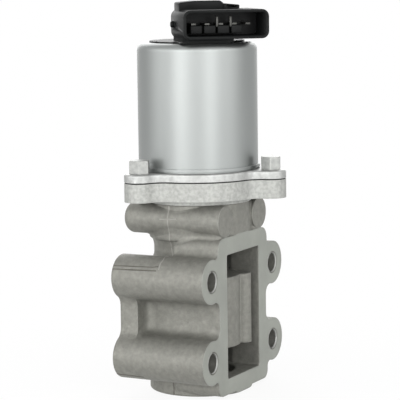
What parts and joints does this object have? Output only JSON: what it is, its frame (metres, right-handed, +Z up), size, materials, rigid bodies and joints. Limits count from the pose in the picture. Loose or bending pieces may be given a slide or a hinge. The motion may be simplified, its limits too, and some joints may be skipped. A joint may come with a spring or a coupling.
{
  "type": "egr valve",
  "caption": "Solenoid exhaust gas recirculation valve: cast body with bolted port flange, steel can and black moulded connector cap on top.",
  "frame": {"origin": "centre of the front flange's bolt pattern, on its machined face", "axes": "+X across the flange to the right seen from the front, +Y from the front flange back through the body, +Z up along the valve axis to the connector"},
  "size_m": [0.0768, 0.0664, 0.1682],
  "materials": {
    "cast_aluminium": "cast",
    "cast_flange": "blasted",
    "zinc_plate": "zinc plated",
    "can_steel": "satin",
    "bolt_steel": "zinc plated",
    "valve_steel": "machined",
    "core_iron": "machined",
    "bush_brass": "machined",
    "winding_copper": "enamelled",
    "black_plastic": "moulded",
    "pale_plastic": "moulded",
    "gasket_black": "matt",
    "terminal_tin": "tinned"
  },
  "bodies": {
    "housing": {"valve_body": "cast_aluminium", "bearing_flange": "cast_flange", "mounting_plate": "zinc_plate", "flange_gasket": "gasket_black", "flange_bolts": "bolt_steel", "solenoid_can": "can_steel", "bottom_plug": "valve_steel", "upper_valve_seat": "valve_steel", "lower_valve_seat": "valve_steel", "stem_guide_bush": "bush_brass", "stem_seal": "gasket_black", "lower_pole_core": "core_iron", "core_bush": "bush_brass", "armature_sleeve": "valve_steel", "coil_bobbin": "pale_plastic", "coil_winding": "winding_copper", "upper_pole_ring": "core_iron", "connector_cap": "black_plastic", "connector_terminals": "terminal_tin", "cap_seal_ring": "gasket_black", "sensor_guide": "pale_plastic", "sensor_board": "pale_plastic", "return_spring": "valve_steel", "sensor_spring": "valve_steel"},
    "valve": {"valve_stem": "valve_steel", "upper_poppet": "valve_steel", "lower_poppet": "valve_steel", "spring_retainer": "valve_steel", "armature": "core_iron"},
    "sensor": {"sensor_plunger": "black_plastic", "sensor_wiper": "terminal_tin"}
  },
  "joints": [
    {"name": "valve_lift", "type": "slide", "parent": "housing", "child": "valve", "axis": [0, 0, -1], "range_m": [0, 0.005], "stiffness_N_per_m": 2500, "springref_m": -0.012, "deforming": ["return_spring"]},
    {"name": "sensor_travel", "type": "slide", "parent": "housing", "child": "sensor", "axis": [0, 0, -1], "range_m": [0, 0.005], "deforming": ["sensor_spring"]}
  ],
  "couplings": [
    {"joint": "sensor_travel", "follows": "valve_lift", "ratio": 1}
  ]
}
